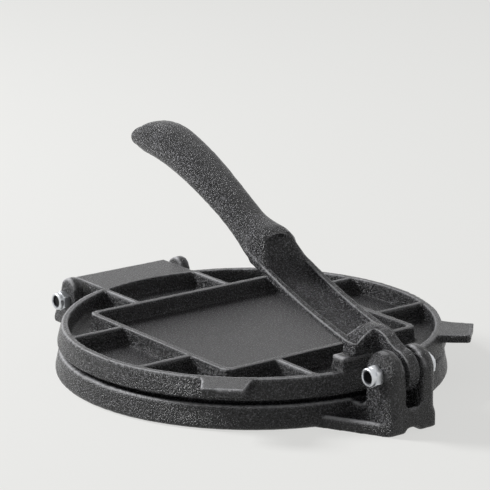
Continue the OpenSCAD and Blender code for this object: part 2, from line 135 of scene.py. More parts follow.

# %% [markdown]
# ## Sand-cast iron, oiled black
#
# Cast iron takes the print of the sand it was poured in: pebbly bumps about a
# millimetre across on the walls, finer on the level faces, where the pattern
# was smooth and the oil lies thicker. The oil is baked on, so the metal under
# it doesn't show as metal: it is a dark skin with a satin shine. It is thin
# and grey on a pebble's top and thick and black in a pit. Light and shade are
# painted on too: the walls are painted darker than the level faces, a painted
# shade, and the upper edges pale grey, a painted highlight where a rounded
# edge catches the lamp.
#
# One noise could do all of it. Three are used, because pebbles, grit and
# patches of oil have three real sizes. Two attributes steer them, and the
# numpy cells below write both on each casting: one is 0 on level faces and 1
# on walls, for the grain and the painted shade, and the other, edge, is 1
# along an upper edge where the highlight is painted.

# %% Cast iron
PEBBLE_SIZE = 0.85  # mm, sand print on the walls
PEBBLE_BUMP = 2.0  # mm, deeper than the real 0.3, because soft light hides shallow pits
GRIT_SIZE = 0.45  # mm, finer print everywhere
GRIT_BUMP = 0.3  # mm
OIL_PATCH = 14  # mm, where the oil lies thick or thin
GRIT_STRENGTH = 0.7
PATCH_LOW, PATCH_HIGH = -0.2, 0.3  # what a patch takes from or adds to the oil's thickness
WALL_SHADE = 0.7  # how much darker a wall is painted than a level face: a painted shade
OIL_SHEEN = 0.4  # how strongly the oil reflects
TOP_FROM, TOP_TO = 0.48, 0.64  # height in the pebbles' noise where a top begins and is full
PIT_FROM, PIT_TO = 0.54, 0.38  # the same for a pit
ROUGHNESS_SPREAD = 0.08  # how much rougher a top is than the mean, and how much smoother a pit
LEVEL_TINT = 0.5  # how much of the pebbles' colours level faces get
LEVEL_BUMP = 0.15  # how much of the pebbles' depth they get
FULL_PIT = "#0d0d0e"  # black where a pit is full of oil
PAINTED_EDGE_HIGHLIGHT = "#bcbcbf"  # pale grey painted along upper edges: a painted highlight
EDGE_ROUGHNESS = 0.42


def cast_iron(name, thin_oil, thick_oil_and_wall_shade, pebble_top, roughness):
    """Black oiled iron: greys of thin oil, of thick oil with the walls' painted shade, and of a
    pebble's top, and its roughness.
    """
    material, tree = new_material(name)
    place = add_node(tree, "ShaderNodeTexCoord").outputs["Object"]
    grain_and_wall_shade = add_node(tree, "ShaderNodeAttribute", {"attribute_name": "grain_and_wall_shade"}).outputs["Fac"]
    edge = add_node(tree, "ShaderNodeAttribute", {"attribute_name": "edge"}).outputs["Fac"]
    pebbles = add_node(tree, "ShaderNodeTexNoise", Vector=place, Scale=1 / (PEBBLE_SIZE * MM),
                       Detail=2.0, Roughness=0.55).outputs["Fac"]
    grit = add_node(tree, "ShaderNodeTexNoise", Vector=place, Scale=1 / (GRIT_SIZE * MM),
                    Detail=1.0, Roughness=0.5).outputs["Fac"]
    patches = add_node(tree, "ShaderNodeTexNoise", Vector=place, Scale=1 / (OIL_PATCH * MM),
                       Detail=3.0, Roughness=0.6).outputs["Fac"]

    # Colour: patches of thin and thick oil with painted shade on walls, then pale tops, black pits
    # and a painted highlight on upper edges
    patchy = add_node(tree, "ShaderNodeMapRange", Value=patches, From_Min=0.35, From_Max=0.65,
                      To_Min=PATCH_LOW, To_Max=PATCH_HIGH)
    # Walls also get the thick oil's dark colour: a painted shade.
    thickness_and_wall_shade = add_node(tree, "ShaderNodeMath", {"operation": "MULTIPLY_ADD", "use_clamp": True},
                     in0=grain_and_wall_shade, in1=WALL_SHADE, in2=patchy.outputs["Result"])
    oil = add_node(tree, "ShaderNodeMix", {"data_type": "RGBA"}, in0=thickness_and_wall_shade.outputs["Value"],
                   in6=linear(thin_oil), in7=linear(thick_oil_and_wall_shade))
    share = add_node(tree, "ShaderNodeMapRange", Value=grain_and_wall_shade, To_Min=LEVEL_TINT, To_Max=1.0)
    tops = add_node(tree, "ShaderNodeMapRange", {"interpolation_type": "SMOOTHSTEP"},
                    Value=pebbles, From_Min=TOP_FROM, From_Max=TOP_TO,
                    To_Max=share.outputs["Result"])
    pits = add_node(tree, "ShaderNodeMapRange", {"interpolation_type": "SMOOTHSTEP"},
                    Value=pebbles, From_Min=PIT_FROM, From_Max=PIT_TO,
                    To_Max=share.outputs["Result"])
    topped = add_node(tree, "ShaderNodeMix", {"data_type": "RGBA"}, in0=tops.outputs["Result"],
                      in6=oil.outputs[2], in7=linear(pebble_top))
    pitted = add_node(tree, "ShaderNodeMix", {"data_type": "RGBA"}, in0=pits.outputs["Result"],
                      in6=topped.outputs[2], in7=linear(FULL_PIT))
    # Painted highlight: pale grey along the upper edges.
    colour = add_node(tree, "ShaderNodeMix", {"data_type": "RGBA"}, in0=edge,
                      in6=pitted.outputs[2], in7=linear(PAINTED_EDGE_HIGHLIGHT))

    # Roughness: more on a pebble's top, less in a pit, and its own on an edge
    satin = add_node(tree, "ShaderNodeMapRange", Value=pebbles, From_Min=0.3, From_Max=0.7,
                     To_Min=roughness - ROUGHNESS_SPREAD, To_Max=roughness + ROUGHNESS_SPREAD)
    finish = add_node(tree, "ShaderNodeMix", {"data_type": "FLOAT"}, in0=edge,
                      in2=satin.outputs["Result"], in3=EDGE_ROUGHNESS)

    # Bump: pebbles that fade out on level faces, with grit over them
    depth = add_node(tree, "ShaderNodeMapRange", Value=grain_and_wall_shade, To_Min=LEVEL_BUMP, To_Max=1.0)
    coarse = add_node(tree, "ShaderNodeBump", Height=pebbles, Distance=PEBBLE_BUMP * MM,
                      Strength=depth.outputs["Result"])
    fine = add_node(tree, "ShaderNodeBump", Height=grit, Distance=GRIT_BUMP * MM,
                    Strength=GRIT_STRENGTH, Normal=coarse.outputs["Normal"])

    iron = add_node(tree, "ShaderNodeBsdfPrincipled", Base_Color=colour.outputs[2],
                    Specular_IOR_Level=OIL_SHEEN, Roughness=finish.outputs[0],
                    Normal=fine.outputs["Normal"])
    add_node(tree, "ShaderNodeOutputMaterial", Surface=iron.outputs["BSDF"])
    return material


# %% Two irons
# The lever's pebble tops are paler than the plates': painted light for its lit handle. It is also
# a little smoother.
plate_iron = cast_iron("oiled_cast_iron_plates", "#2e2e2f", "#121213", "#606063", 0.24)
lever_iron = cast_iron("oiled_cast_iron_lever", "#27272a", "#18181a", "#727276", 0.22)
print("made", plate_iron.name, "and", lever_iron.name)

# %% [markdown]
# ## Bright zinc plate
#
# The nuts and bolts are steel with a thin bright zinc plating. Zinc is a grey
# metal with a slight blue in it, and plating leaves it a little cloudy, so a
# noise moves both its tint and its roughness. A plain mirror would look like
# chrome. The end of a bolt, deep in its nut, lies in the collar's shade, and
# that shade is painted on: an attribute is 1 there, and turns the zinc dark.

# %% Zinc
CLOUD_SIZE = 2.5  # mm, the plating's cloudiness
# The last of these is a painted shade, for a bolt's end deep in its nut's collar.
CLEAR_ZINC, CLOUDY_ZINC, PAINTED_SHADE_ZINC = "#e4e6e9", "#c6c9cd", "#1b1b1c"
CLEAR_ROUGHNESS, CLOUDY_ROUGHNESS = 0.2, 0.42


def zinc_plate(name):
    """Bright zinc over turned steel: metallic, with cloudy patches, and painted dark at a bolt's
    end, a painted shade.
    """
    material, tree = new_material(name)
    place = add_node(tree, "ShaderNodeTexCoord").outputs["Object"]
    oily = add_node(tree, "ShaderNodeAttribute", {"attribute_name": "oily"}).outputs["Fac"]
    cloud = add_node(tree, "ShaderNodeTexNoise", Vector=place, Scale=1 / (CLOUD_SIZE * MM),
                     Detail=3.0).outputs["Fac"]
    finish = add_node(tree, "ShaderNodeMapRange", Value=cloud, To_Min=CLEAR_ROUGHNESS,
                      To_Max=CLOUDY_ROUGHNESS)
    tint = add_node(tree, "ShaderNodeMix", {"data_type": "RGBA"}, in0=cloud,
                    in6=linear(CLEAR_ZINC), in7=linear(CLOUDY_ZINC))
    # Painted shade: dark at a bolt's end.
    shaded_tint = add_node(tree, "ShaderNodeMix", {"data_type": "RGBA"}, in0=oily,
                      in6=tint.outputs[2], in7=linear(PAINTED_SHADE_ZINC))
    zinc = add_node(tree, "ShaderNodeBsdfPrincipled", Base_Color=shaded_tint.outputs[2],
                    Metallic=1.0, Roughness=finish.outputs["Result"])
    add_node(tree, "ShaderNodeOutputMaterial", Surface=zinc.outputs["BSDF"])
    return material


bright_zinc = zinc_plate("bright_zinc_plate")
print("made", bright_zinc.name)

# %% [markdown]
# ## Moulded nylon
#
# The ring in a lock nut is nylon, a dull dark plastic. It is a millimetre wide
# and half hidden, so a faint waxy unevenness is all the eye could find on it.

# %% Nylon
WAX_SIZE = 0.8  # mm
NYLON, WAXY_NYLON = "#2b2e34", "#1d2026"


def moulded_nylon(name):
    """Dull dark nylon with a faint waxy unevenness."""
    material, tree = new_material(name)
    place = add_node(tree, "ShaderNodeTexCoord").outputs["Object"]
    wax = add_node(tree, "ShaderNodeTexNoise", Vector=place,
                   Scale=1 / (WAX_SIZE * MM)).outputs["Fac"]
    tint = add_node(tree, "ShaderNodeMix", {"data_type": "RGBA"}, in0=wax,
                    in6=linear(NYLON), in7=linear(WAXY_NYLON))
    nylon = add_node(tree, "ShaderNodeBsdfPrincipled", Base_Color=tint.outputs[2],
                     Roughness=0.55)
    add_node(tree, "ShaderNodeOutputMaterial", Surface=nylon.outputs["BSDF"])
    return material


dark_nylon = moulded_nylon("moulded_nylon")
print("made", dark_nylon.name)

# %% [markdown]
# ## From an exact solid to a casting
#
# A machined model has knife edges, and a casting has none: sand can't hold a
# sharp corner, and a fettling wheel takes off the rest. Beveling hundreds of
# edges is fragile. It is steadier to wrap the solid in a skin of even squares,
# about a millimetre wide, and let that skin relax. Flat places stay where they
# are, and every edge and inner corner rounds by itself.


# %% Skin of even squares
def axis_of(node):
    """The middle of a node seen along Y, and its two ends along Y, in mm."""
    low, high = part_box(node)
    middle = (low + high) / 2 / MM
    return np.array([middle.x, 0, middle.z]), low.y / MM, high.y / MM


def merged_copy(node, name, extra=None):
    """A copy of a CAD node as its own object, with its loose triangles merged.

    extra is a closed form, as points and faces, that the skin wraps in too.
    """
    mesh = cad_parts[node].data.copy()
    mesh.name = name
    mesh.materials.clear()
    work = bmesh.new()
    work.from_mesh(mesh)
    if extra is not None:
        added = bpy.data.meshes.new(name + "_extra")
        added.from_pydata(extra[0].tolist(), [], extra[1].tolist())
        work.from_mesh(added)
    bmesh.ops.remove_doubles(work, verts=work.verts, dist=0.001 * MM)
    work.to_mesh(mesh)
    work.free()
    piece = bpy.data.objects.new(name, mesh)
    scene.collection.objects.link(piece)
    return piece


def wrap_in_squares(piece, size):
    """Replaces a piece's mesh by a closed skin of squares of a size in mm."""
    wrap = piece.modifiers.new("wrap", "REMESH")
    wrap.mode = "VOXEL"
    wrap.voxel_size = size * MM
    ready = piece.evaluated_get(bpy.context.evaluated_depsgraph_get())
    mesh = bpy.data.meshes.new_from_object(ready)
    piece.modifiers.clear()
    piece.data = mesh
    return piece


bolt_line, _, _ = axis_of("lever_bolt")
print("the lever's bolt lies at x", round(bolt_line[0], 1), "z", round(bolt_line[2], 1), "mm")

# %% [markdown]
# ## Relaxing
#
# Relaxing moves each point towards the mean of its neighbours. That alone
# would shrink the ribs, so every round ends with a slightly larger step the
# other way. Only the short waves, the steps of the wrapping, are lost. The
# three small readers and writers carry a mesh to numpy and back.


# %% Relax the skin
FORWARD, BACK = 0.5, -0.52  # share of the way to the neighbours' mean, in each round


def read_points(mesh):
    """A mesh's points as an array of rows."""
    points = np.empty(len(mesh.vertices) * 3, np.float32)
    mesh.vertices.foreach_get("co", points)
    return points.reshape(-1, 3).astype(float)


def write_points(mesh, points):
    """Puts an array of rows back as a mesh's points."""
    mesh.vertices.foreach_set("co", points.astype(np.float32).ravel())
    mesh.update()


def read_normals(mesh):
    """The outward direction at each point of a mesh."""
    normals = np.empty(len(mesh.vertices) * 3, np.float32)
    mesh.vertices.foreach_get("normal", normals)
    return normals.reshape(-1, 3).astype(float)


def read_edges(mesh):
    """The two point numbers of each edge."""
    edges = np.empty(len(mesh.edges) * 2, np.int32)
    mesh.edges.foreach_get("vertices", edges)
    return edges.reshape(-1, 2)


def neighbour_mean(values, edges):
    """Each point's mean over its neighbours: sums along the edges over counts."""
    a, b = edges.T
    ends = np.concatenate([a, b])
    count = np.bincount(ends, minlength=len(values))
    sums = [np.bincount(ends, np.concatenate([column[b], column[a]]), minlength=len(values))
            for column in values.T]
    return np.stack(sums, 1) / np.maximum(count, 1)[:, None]


def relaxed(points, edges, rounds):
    """Points after rounds of a step to their neighbours' mean and a step back from it."""
    for step in [FORWARD, BACK] * rounds:
        points = points + step * (neighbour_mean(points, edges) - points)
    return points


row_of_points = np.where(np.arange(9) == 4, 1.0, 0.0)[:, None]
row_edges = np.stack([np.arange(8), np.arange(1, 9)], 1)
print("after 3 rounds a spike of 1 mm in a row of points is",
      round(float(relaxed(row_of_points, row_edges, 3).max()), 2), "mm high")

# %% [markdown]
# ## The sand's print
#
# Noise on a lattice gives the print: a random height at each corner of a cube
# grid, blended smoothly between corners. Two sizes are added, and the sum only
# ever sinks into the solid, so no grain stands proud of the exact sizes. It
# is a real shape, for what a bump in the material can't give: an uneven
# outline against the light.

# %% Lattice noise
COARSE_CELL, COARSE_SEED = 5.5, 12  # mm between the grid's corners
FINE_CELL, FINE_SEED = 2.4, 11
FINE_SHARE = 0.6  # how much of the print the finer noise makes
WALL_DEPTH = 0.3  # mm, depth of the print on walls
LEVEL_FROM, LEVEL_TO = 0.80, 0.96  # how far up a normal points on a sloping and a level face


def smooth_step(values, start, stop):
    """0 before start, 1 after stop, and an S-curve between."""
    t = np.clip((values - start) / (stop - start), 0, 1)
    return t * t * (3 - 2 * t)


def lattice_noise(points, cell, seed):
    """Smooth noise from 0 to 1: random corner heights blended by an S-curve in each direction."""
    table = np.random.default_rng(seed).random(4096)
    grid = points / (cell * MM)
    corner = np.floor(grid).astype(np.int64)
    part = smooth_step(grid - corner, 0, 1)
    total = np.zeros(len(points))
    for x, y, z in np.ndindex(2, 2, 2):
        i, j, k = (corner + (x, y, z)).T
        height = table[(i * 73856093 ^ j * 19349663 ^ k * 83492791) % len(table)]
        total += height * np.prod(np.where([x, y, z], part, 1 - part), axis=1)
    return total


def sand_print(points):
    """The print's depth from 0 to 1 at each point: two sizes of noise, added."""
    return (FINE_SHARE * lattice_noise(points, FINE_CELL, FINE_SEED)
            + (1 - FINE_SHARE) * lattice_noise(points, COARSE_CELL, COARSE_SEED))


def wall_share(normals):
    """0 where a face is level, 1 where it stands, smooth between."""
    return 1 - smooth_step(np.abs(normals[:, 2]), LEVEL_FROM, LEVEL_TO)


sample = sand_print(np.random.default_rng(1).random((2000, 3)) * 0.1)
print("the print's depth runs from", round(float(sample.min()), 2), "to",
      round(float(sample.max()), 2), "of the whole")

# %% [markdown]
# ## Painted edge highlights
#
# A rounded edge that stands out and faces up catches the lamp as a thin bright
# line, and here that line is painted on in pale grey: a painted highlight. A
# material can ask the renderer how sharp a place is, but an exported model
# loses that. So it is measured on the mesh and kept there: a point on an edge
# stands out over the mean of its neighbours, and one on a flat face doesn't.

# %% Painted edge highlights
EDGE_FROM, EDGE_TO = 0.04, 0.11  # standing out, in squares, where the painted highlight starts and is full
SIDE_FROM, SIDE_TO = 0.1, 0.5  # how far up a normal points there


def edge_highlight_mask(points, normals, edges, square):
    """1 along an upper edge that stands out over its neighbours, 0 elsewhere, a little blurred."""
    out = points - neighbour_mean(points, edges)
    sharpness = np.einsum("ij,ij->i", out, normals) / (square * MM)
    edge = (smooth_step(sharpness, EDGE_FROM, EDGE_TO)
            * smooth_step(normals[:, 2], SIDE_FROM, SIDE_TO))
    return (edge + neighbour_mean(edge[:, None], edges)[:, 0]) / 2


def write_numbers(mesh, name, values):
    """Stores one number per point for the material to read."""
    layer = mesh.attributes.new(name, "FLOAT", "POINT")
    layer.data.foreach_set("value", values.astype(np.float32))


# An upper edge is painted pale, as a highlight, where it stands out by this much.
print("an edge is rubbed bare where it stands out by", EDGE_TO, "of a square")

# %% [markdown]
# ## The clevis's round edges
#
# The clevis is the fork that holds the lever's bolt. Its outer edges are
# rounder than any other on the press: a large fillet runs over both ears and
# down their sides, so that the bolt's head shows past it. Relaxing gives about
# a millimetre, and more of it would melt the ribs. So these edges are drawn in
# by a rule of their own, before the skin relaxes.

# %% Round the clevis
BASE_H = 12.7  # mm, the base's top edge
CLEVIS_R = 11.5  # mm, the clevis's round top
CLEVIS_HALF = 15.1  # mm, half its width
EDGE_LOW, EDGE_HIGH = 2.5, 5.5  # mm, radius of its outer edges at the foot and over it
GROW_FROM, GROW_TO = 7, 12  # mm over the table, where the radius grows from low to high
SKIN = 0.5  # mm, how far off the solid the skin may lie


def round_clevis(points):
    """Rounds the clevis's outer edges over its bolt and down both sides.

    reach is a point's distance from the line that runs down from the bolt. A
    point past the centre of the edge's circle, both in reach and along the
    bolt, is drawn in towards that centre until it lies on the circle.
    """
    x, y, z = points.T / MM
    back, up = x - bolt_line[0], z - bolt_line[2]
    above = up > 0
    reach = np.where(above, np.hypot(back, up), np.abs(back))
    radius = EDGE_LOW + (EDGE_HIGH - EDGE_LOW) * smooth_step(z, GROW_FROM, GROW_TO)
    over, beside = reach - (CLEVIS_R - radius), np.abs(y) - (CLEVIS_HALF - radius)
    far = np.hypot(over, beside)
    hit = ((over > 0) & (beside > 0) & (far > radius) & (reach < CLEVIS_R + SKIN)
           & (np.abs(y) < CLEVIS_HALF + SKIN) & ((back > 0) | (z > BASE_H + 1)))
    draw = np.where(hit, radius / np.maximum(far, 1e-6), 1)
    grow = np.where(hit, (CLEVIS_R - radius + over * draw) / np.maximum(reach, 1e-6), 1)
    x = bolt_line[0] + back * grow
    z = np.where(above, bolt_line[2] + up * grow, z)
    y = np.where(hit, np.sign(y) * (CLEVIS_HALF - radius + beside * draw), y)
    return np.stack([x, y, z], 1) * MM


ear_corner = (bolt_line + (CLEVIS_R, CLEVIS_HALF, 0))[None, :] * MM
drawn_in = np.linalg.norm(round_clevis(ear_corner) - ear_corner)
print("an ear's corner is drawn in by", round(float(drawn_in) / MM, 1), "mm")

# %% [markdown]
# ## The lever's neck
#
# Where the handle meets the arm, the arm's sunk panel runs up into the
# handle's front end as a soft valley between two banks. In the solid it is a
# plain hollow, and deeper. So metal is added: a small closed form, a height
# over a grid, which the skin wraps in together with the solid, with no seam
# between them. Eight stations along the lever are enough, because the heights
# between them follow straight lines, and relaxing rounds what is left.

# %% Neck valley
NECK_ALONG = (82, 86, 90, 94, 97, 99, 101, 105)  # mm along the lever from its bolt
NECK_RIM = (30.2, 31.8, 33.4, 35.2, 36.5, 37.3, 38.2, 40.0)  # mm over the bolt, the arm's rim
NECK_VALLEY = (25.5, 27.6, 30.0, 33.4, 39.0, 43.6, 47.2, 49.0)  # mm over it, the valley's floor
NECK_BANK = (25.5, 28.6, 32.6, 37.4, 42.6, 46.0, 48.6, 49.6)  # mm over it, its banks
BANK_FROM = (10.0, 9.5, 8.0, 5.5, 3.5, 2.0, 1.0, 1.0)  # mm from the middle, where a bank begins
BANK_TO = (13.0, 12.8, 12.5, 11.0, 9.5, 8.5, 8.0, 7.0)  # mm, where it is full
NECK_HALF = 14.2  # mm, half the form's width
NECK_DEPTH = 5.5  # mm, how far the form reaches down into the solid


def squares_between(one, two):
    """Squares from one line of point numbers to the next, or from rows of lines to rows."""
    return np.stack([one[..., :-1], one[..., 1:], two[..., 1:], two[..., :-1]],
                    -1).reshape(-1, 4)


def neck_fill():
    """Points and faces of the metal that makes the hollow a soft valley.

    Rows run along the lever and columns across it. A column's height is the
    valley's height plus an S-curve times the banks' height over it. Outside the
    banks it falls to the rim.
    """
    along = np.arange(NECK_ALONG[0], NECK_ALONG[-1] + 0.1, 1.0)
    rim, valley, bank, begin, end = (
        np.interp(along, NECK_ALONG, row)[:, None]
        for row in (NECK_RIM, NECK_VALLEY, NECK_BANK, BANK_FROM, BANK_TO))
    across = np.linspace(-NECK_HALF, NECK_HALF, 29)
    side = np.abs(across)
    top = (valley + (bank - valley) * smooth_step(side, begin, end)
           - np.maximum(bank - rim, 0) * smooth_step(side, end, NECK_HALF + 2))
    rows, columns = top.shape
    x = bolt_line[0] - np.repeat(along[:, None], columns, 1)
    y = np.repeat(across[None, :], rows, 0)
    low = np.repeat(rim - NECK_DEPTH, columns, 1)
    sheets = [np.stack([x, y, bolt_line[2] + height], -1) for height in (top, low)]
    up, down = np.arange(2 * rows * columns).reshape(2, rows, columns)
    faces = np.concatenate([
        squares_between(up[:-1], up[1:]), squares_between(down[1:], down[:-1]),
        squares_between(down[0], up[0]), squares_between(up[-1], down[-1]),
        squares_between(up[:, 0], down[:, 0]), squares_between(down[:, -1], up[:, -1])])
    return np.concatenate(sheets).reshape(-1, 3) * MM, faces


neck = neck_fill()
print("the neck's form has", len(neck[0]), "points and", len(neck[1]), "faces")

# %% [markdown]
# ## The three castings
#
# All three are made by one function, with a square's size for each: the
# smaller it is, the finer the edges and the heavier the mesh. The lever gets
# the finest, because its panel has the thinnest rim, and more rounds, because
# its solid is a skin of flat facets that shouldn't show. Its level faces have
# the same sand on them as its walls, and the same painted shade.


# %% Castings
def stands_for(piece, node, body):
    """Lets a piece take a CAD node's place and ride on a body."""
    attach(piece, body)
    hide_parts(node)


def cast(node, square, rounds, level_depth, material, level_grain=0.0, reshape=None, extra=None):
    """A casting that stands for a CAD node: wrapped, relaxed and printed with sand.

    square is the skin's square in mm, level_depth the print's depth in mm on
    level faces, and level_grain how much of the walls' grain and painted shade
    they get. reshape moves the points before they relax, and extra is a form to
    wrap in.
    """
    name = node + "_casting"
    piece = wrap_in_squares(merged_copy(node, name, extra), square)
    mesh = piece.data
    edges = read_edges(mesh)
    points = read_points(mesh)
    if reshape is not None:
        points = reshape(points)
    write_points(mesh, relaxed(points, edges, rounds))
    points, normals = read_points(mesh), read_normals(mesh)
    # The mask of the painted edge highlight, along upper edges.
    edge = edge_highlight_mask(points, normals, edges, square)
    grain_and_wall_shade = np.maximum(wall_share(normals), level_grain)
    sink = (level_depth + (WALL_DEPTH - level_depth) * grain_and_wall_shade) * sand_print(points)
    low, high = (np.array(corner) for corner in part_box(node))
    write_points(mesh, np.clip(points - normals * (sink * MM)[:, None], low, high))
    write_numbers(mesh, "grain_and_wall_shade", grain_and_wall_shade)
    write_numbers(mesh, "edge", edge)
    mesh.shade_smooth()
    mesh.materials.clear()
    mesh.materials.append(material)
    stands_for(piece, node, node)
    print(name, len(mesh.polygons), "squares,", round(100 * float((edge > 0.5).mean()), 1),
          "% on edges")


cast("base", 1.1, 3, 0.1, plate_iron, reshape=round_clevis)
cast("lid", 1.05, 3, 0.1, plate_iron)
cast("lever", 0.55, 4, 0.3, lever_iron, level_grain=1.0, extra=neck)

# %% [markdown]
# ## Turned fasteners
#
# A bolt or a nut is a surface of two numbers: how far along its profile a
# point is, and how far round the axis. Both bolts lie along Y, so the same
# functions draw each pair, and the frame says where they go. They are small
# and sharp, so they aren't wrapped in squares as the castings are.


# %% Surfaces of revolution
SHARP_FROM = 32  # degrees between two faces, from which their edge is sharp


def closed_surface(name, rings, material):
    """An object from rings of points, each row joined to the next and each ring closed."""
    rows, around = rings.shape[:2]
    i = np.arange(rows - 1)[:, None] * around
    j = np.arange(around)[None, :]
    k = (j + 1) % around
    faces = np.stack([i + j, i + k, i + around + k, i + around + j], -1).reshape(-1, 4)
    mesh = bpy.data.meshes.new(name)
    mesh.from_pydata(rings.reshape(-1, 3).tolist(), [], faces.tolist())
    work = bmesh.new()
    work.from_mesh(mesh)
    bmesh.ops.remove_doubles(work, verts=work.verts, dist=0.0005 * MM)
    bmesh.ops.recalc_face_normals(work, faces=work.faces)
    work.to_mesh(mesh)
    work.free()
    mesh.shade_smooth()
    mesh.set_sharp_from_angle(angle=np.radians(SHARP_FROM))
    mesh.materials.append(material)
    piece = bpy.data.objects.new(name, mesh)
    scene.collection.objects.link(piece)
    return piece


def turned(profile, around, radius_of=None):
    """Rings of a profile of (radius, y) rows in mm, turned about Y.

    radius_of(radius, angle, y) may change the radius with the angle.
    """
    radius, y = np.array(profile, float).T
    angle = np.arange(around) * 2 * np.pi / around
    r = np.repeat(radius[:, None], around, 1)
    y = np.repeat(y[:, None], around, 1)
    if radius_of is not None:
        r = radius_of(r, angle[None, :], y)
    return np.stack([r * np.cos(angle), y, r * np.sin(angle)], -1)


def round_corner(centre, radius, start, end, steps):
    """Points (radius, y) along an arc from one angle to another, in degrees."""
    a = np.radians(np.linspace(start, end, steps))
    return np.stack([centre[0] + radius * np.cos(a), centre[1] + radius * np.sin(a)], 1).tolist()


def hexagon(across, angle):
    """Distance from the axis to a hexagon's side: half the flats over a cosine.

    The angle of the cosine is the one to the middle of the nearest flat.
    """
    off = (angle + np.pi / 6) % (np.pi / 3) - np.pi / 6
    return across / 2 / np.cos(off)


FLATS = 10.0  # mm across, on the nuts and on the bolts' heads
CORNER = float(hexagon(FLATS, np.pi / 6))  # mm from the axis
print("hexagons:", FLATS, "mm across flats,", round(2 * CORNER, 2), "mm across corners")

# %% [markdown]
# ## Lock nuts
#
# A lock nut is a hexagon with its corners chamfered, and a round collar rolled
# over a nylon ring. The collar's hole is dark, with the bolt's end lying a
# little inside it. The hexagon is a turned profile too: wherever a point would
# lie outside the six flats, its radius is cut down to them, and that also
# draws the curved edge of the chamfer by itself.

# %% Lock nuts
COLLAR = 2.6  # mm long
COLLAR_R = 4.85  # mm
COLLAR_ROLL = 0.9  # mm, radius of its rolled end
LIP_R = 3.35  # mm, the hole in its end
RING_SEAT = 2.4  # mm deep, where the nylon ring ends
BORE_R = 3.03  # mm
CHAMFER = 0.3  # mm, on the collar's side
SEAT_CHAMFER, SEAT_CHAMFER_H = 0.35, 0.4  # mm in and mm high, on the casting's side


def lock_nut(node, name):
    """A nut along Y, its hexagon against the casting at +Y and its collar towards -Y."""
    middle, outer, inner = axis_of(node)
    step = outer + COLLAR
    sides = [(CORNER - SEAT_CHAMFER, inner), (CORNER, inner - SEAT_CHAMFER_H),
             (CORNER, inner - 1.6), (CORNER, step + CHAMFER), (CORNER - CHAMFER, step + 0.08),
             (FLATS / 2 + 0.02, step)]
    roll = round_corner((COLLAR_R - COLLAR_ROLL, outer + COLLAR_ROLL), COLLAR_ROLL, 0, -115, 9)
    hole = [(LIP_R + 0.1, outer + 0.35), (LIP_R, outer + 0.6), (LIP_R, outer + RING_SEAT),
            (BORE_R, outer + RING_SEAT + 0.05)]
    profile = ([(BORE_R, inner)] + sides + [(COLLAR_R, step - 0.05)] + roll + hole
               + [(BORE_R, inner)])

    def cut_flats(r, angle, y):
        hexagonal = (y > step - 0.01) & (r > BORE_R + 0.01)
        return np.where(hexagonal, np.minimum(r, hexagon(FLATS, angle)), r)

    rings = (turned(profile, 96, cut_flats) + middle) * MM
    return closed_surface(name, rings, bright_zinc)


for bolt_name in ("hinge", "lever"):
    nut = lock_nut(bolt_name + "_nut", bolt_name + "_lock_nut")
    stands_for(nut, bolt_name + "_nut", "base")
    print(nut.name, len(nut.data.polygons), "faces")

# %% [markdown]
# ## Nylon rings
#
# The ring grips the thread and keeps the nut from working loose. It is a
# square section turned once, with the edges at its open end eased, as a
# moulded piece has them.

# %% Nylon rings
RING_R = 3.3  # mm
RING_EASE = 0.2  # mm


def nylon_ring(node, name):
    """The ring that grips the thread: a square section with its outer edges eased."""
    middle, outer, inner = axis_of(node)
    profile = [(BORE_R, inner), (RING_R, inner), (RING_R, outer + RING_EASE),
               (RING_R - RING_EASE, outer), (BORE_R + RING_EASE, outer),
               (BORE_R, outer + RING_EASE), (BORE_R, inner)]
    return closed_surface(name, (turned(profile, 64) + middle) * MM, dark_nylon)


for bolt_name in ("hinge", "lever"):
    ring = nylon_ring(bolt_name + "_nut_insert", bolt_name + "_nut_ring")
    stands_for(ring, bolt_name + "_nut_insert", "base")
    print(ring.name, len(ring.data.polygons), "faces")

# %% [markdown]
# ## Bolts
#
# A hexagonal head with a shallow dish, a plain shank, and a thread cut as a
# helix. A spiral of separate turns would have to be joined to the shank. On
# the same turned surface it is one formula: the depth at a point depends on
# how far its height lies from the ridge, which climbs one pitch for each turn.

# %% Bolts
PITCH = 1.0  # mm
THREAD_DEPTH = 0.55  # mm
THREAD_L = 18  # mm
THREAD_STEPS = 8  # rows of points in each pitch
LEAD_IN = 0.5  # mm of the end without a thread
BOLT_R = 2.98  # mm
END_CHAMFER = 0.6  # mm
HEAD = 4.0  # mm high
HEAD_CHAMFER = 0.5  # mm high
DISH, DISH_R = 0.25, 3.2  # mm deep, and mm from the axis to its wall
PAINTED_SHADE_END = 0.8  # mm of a bolt's end painted dark, a painted shade


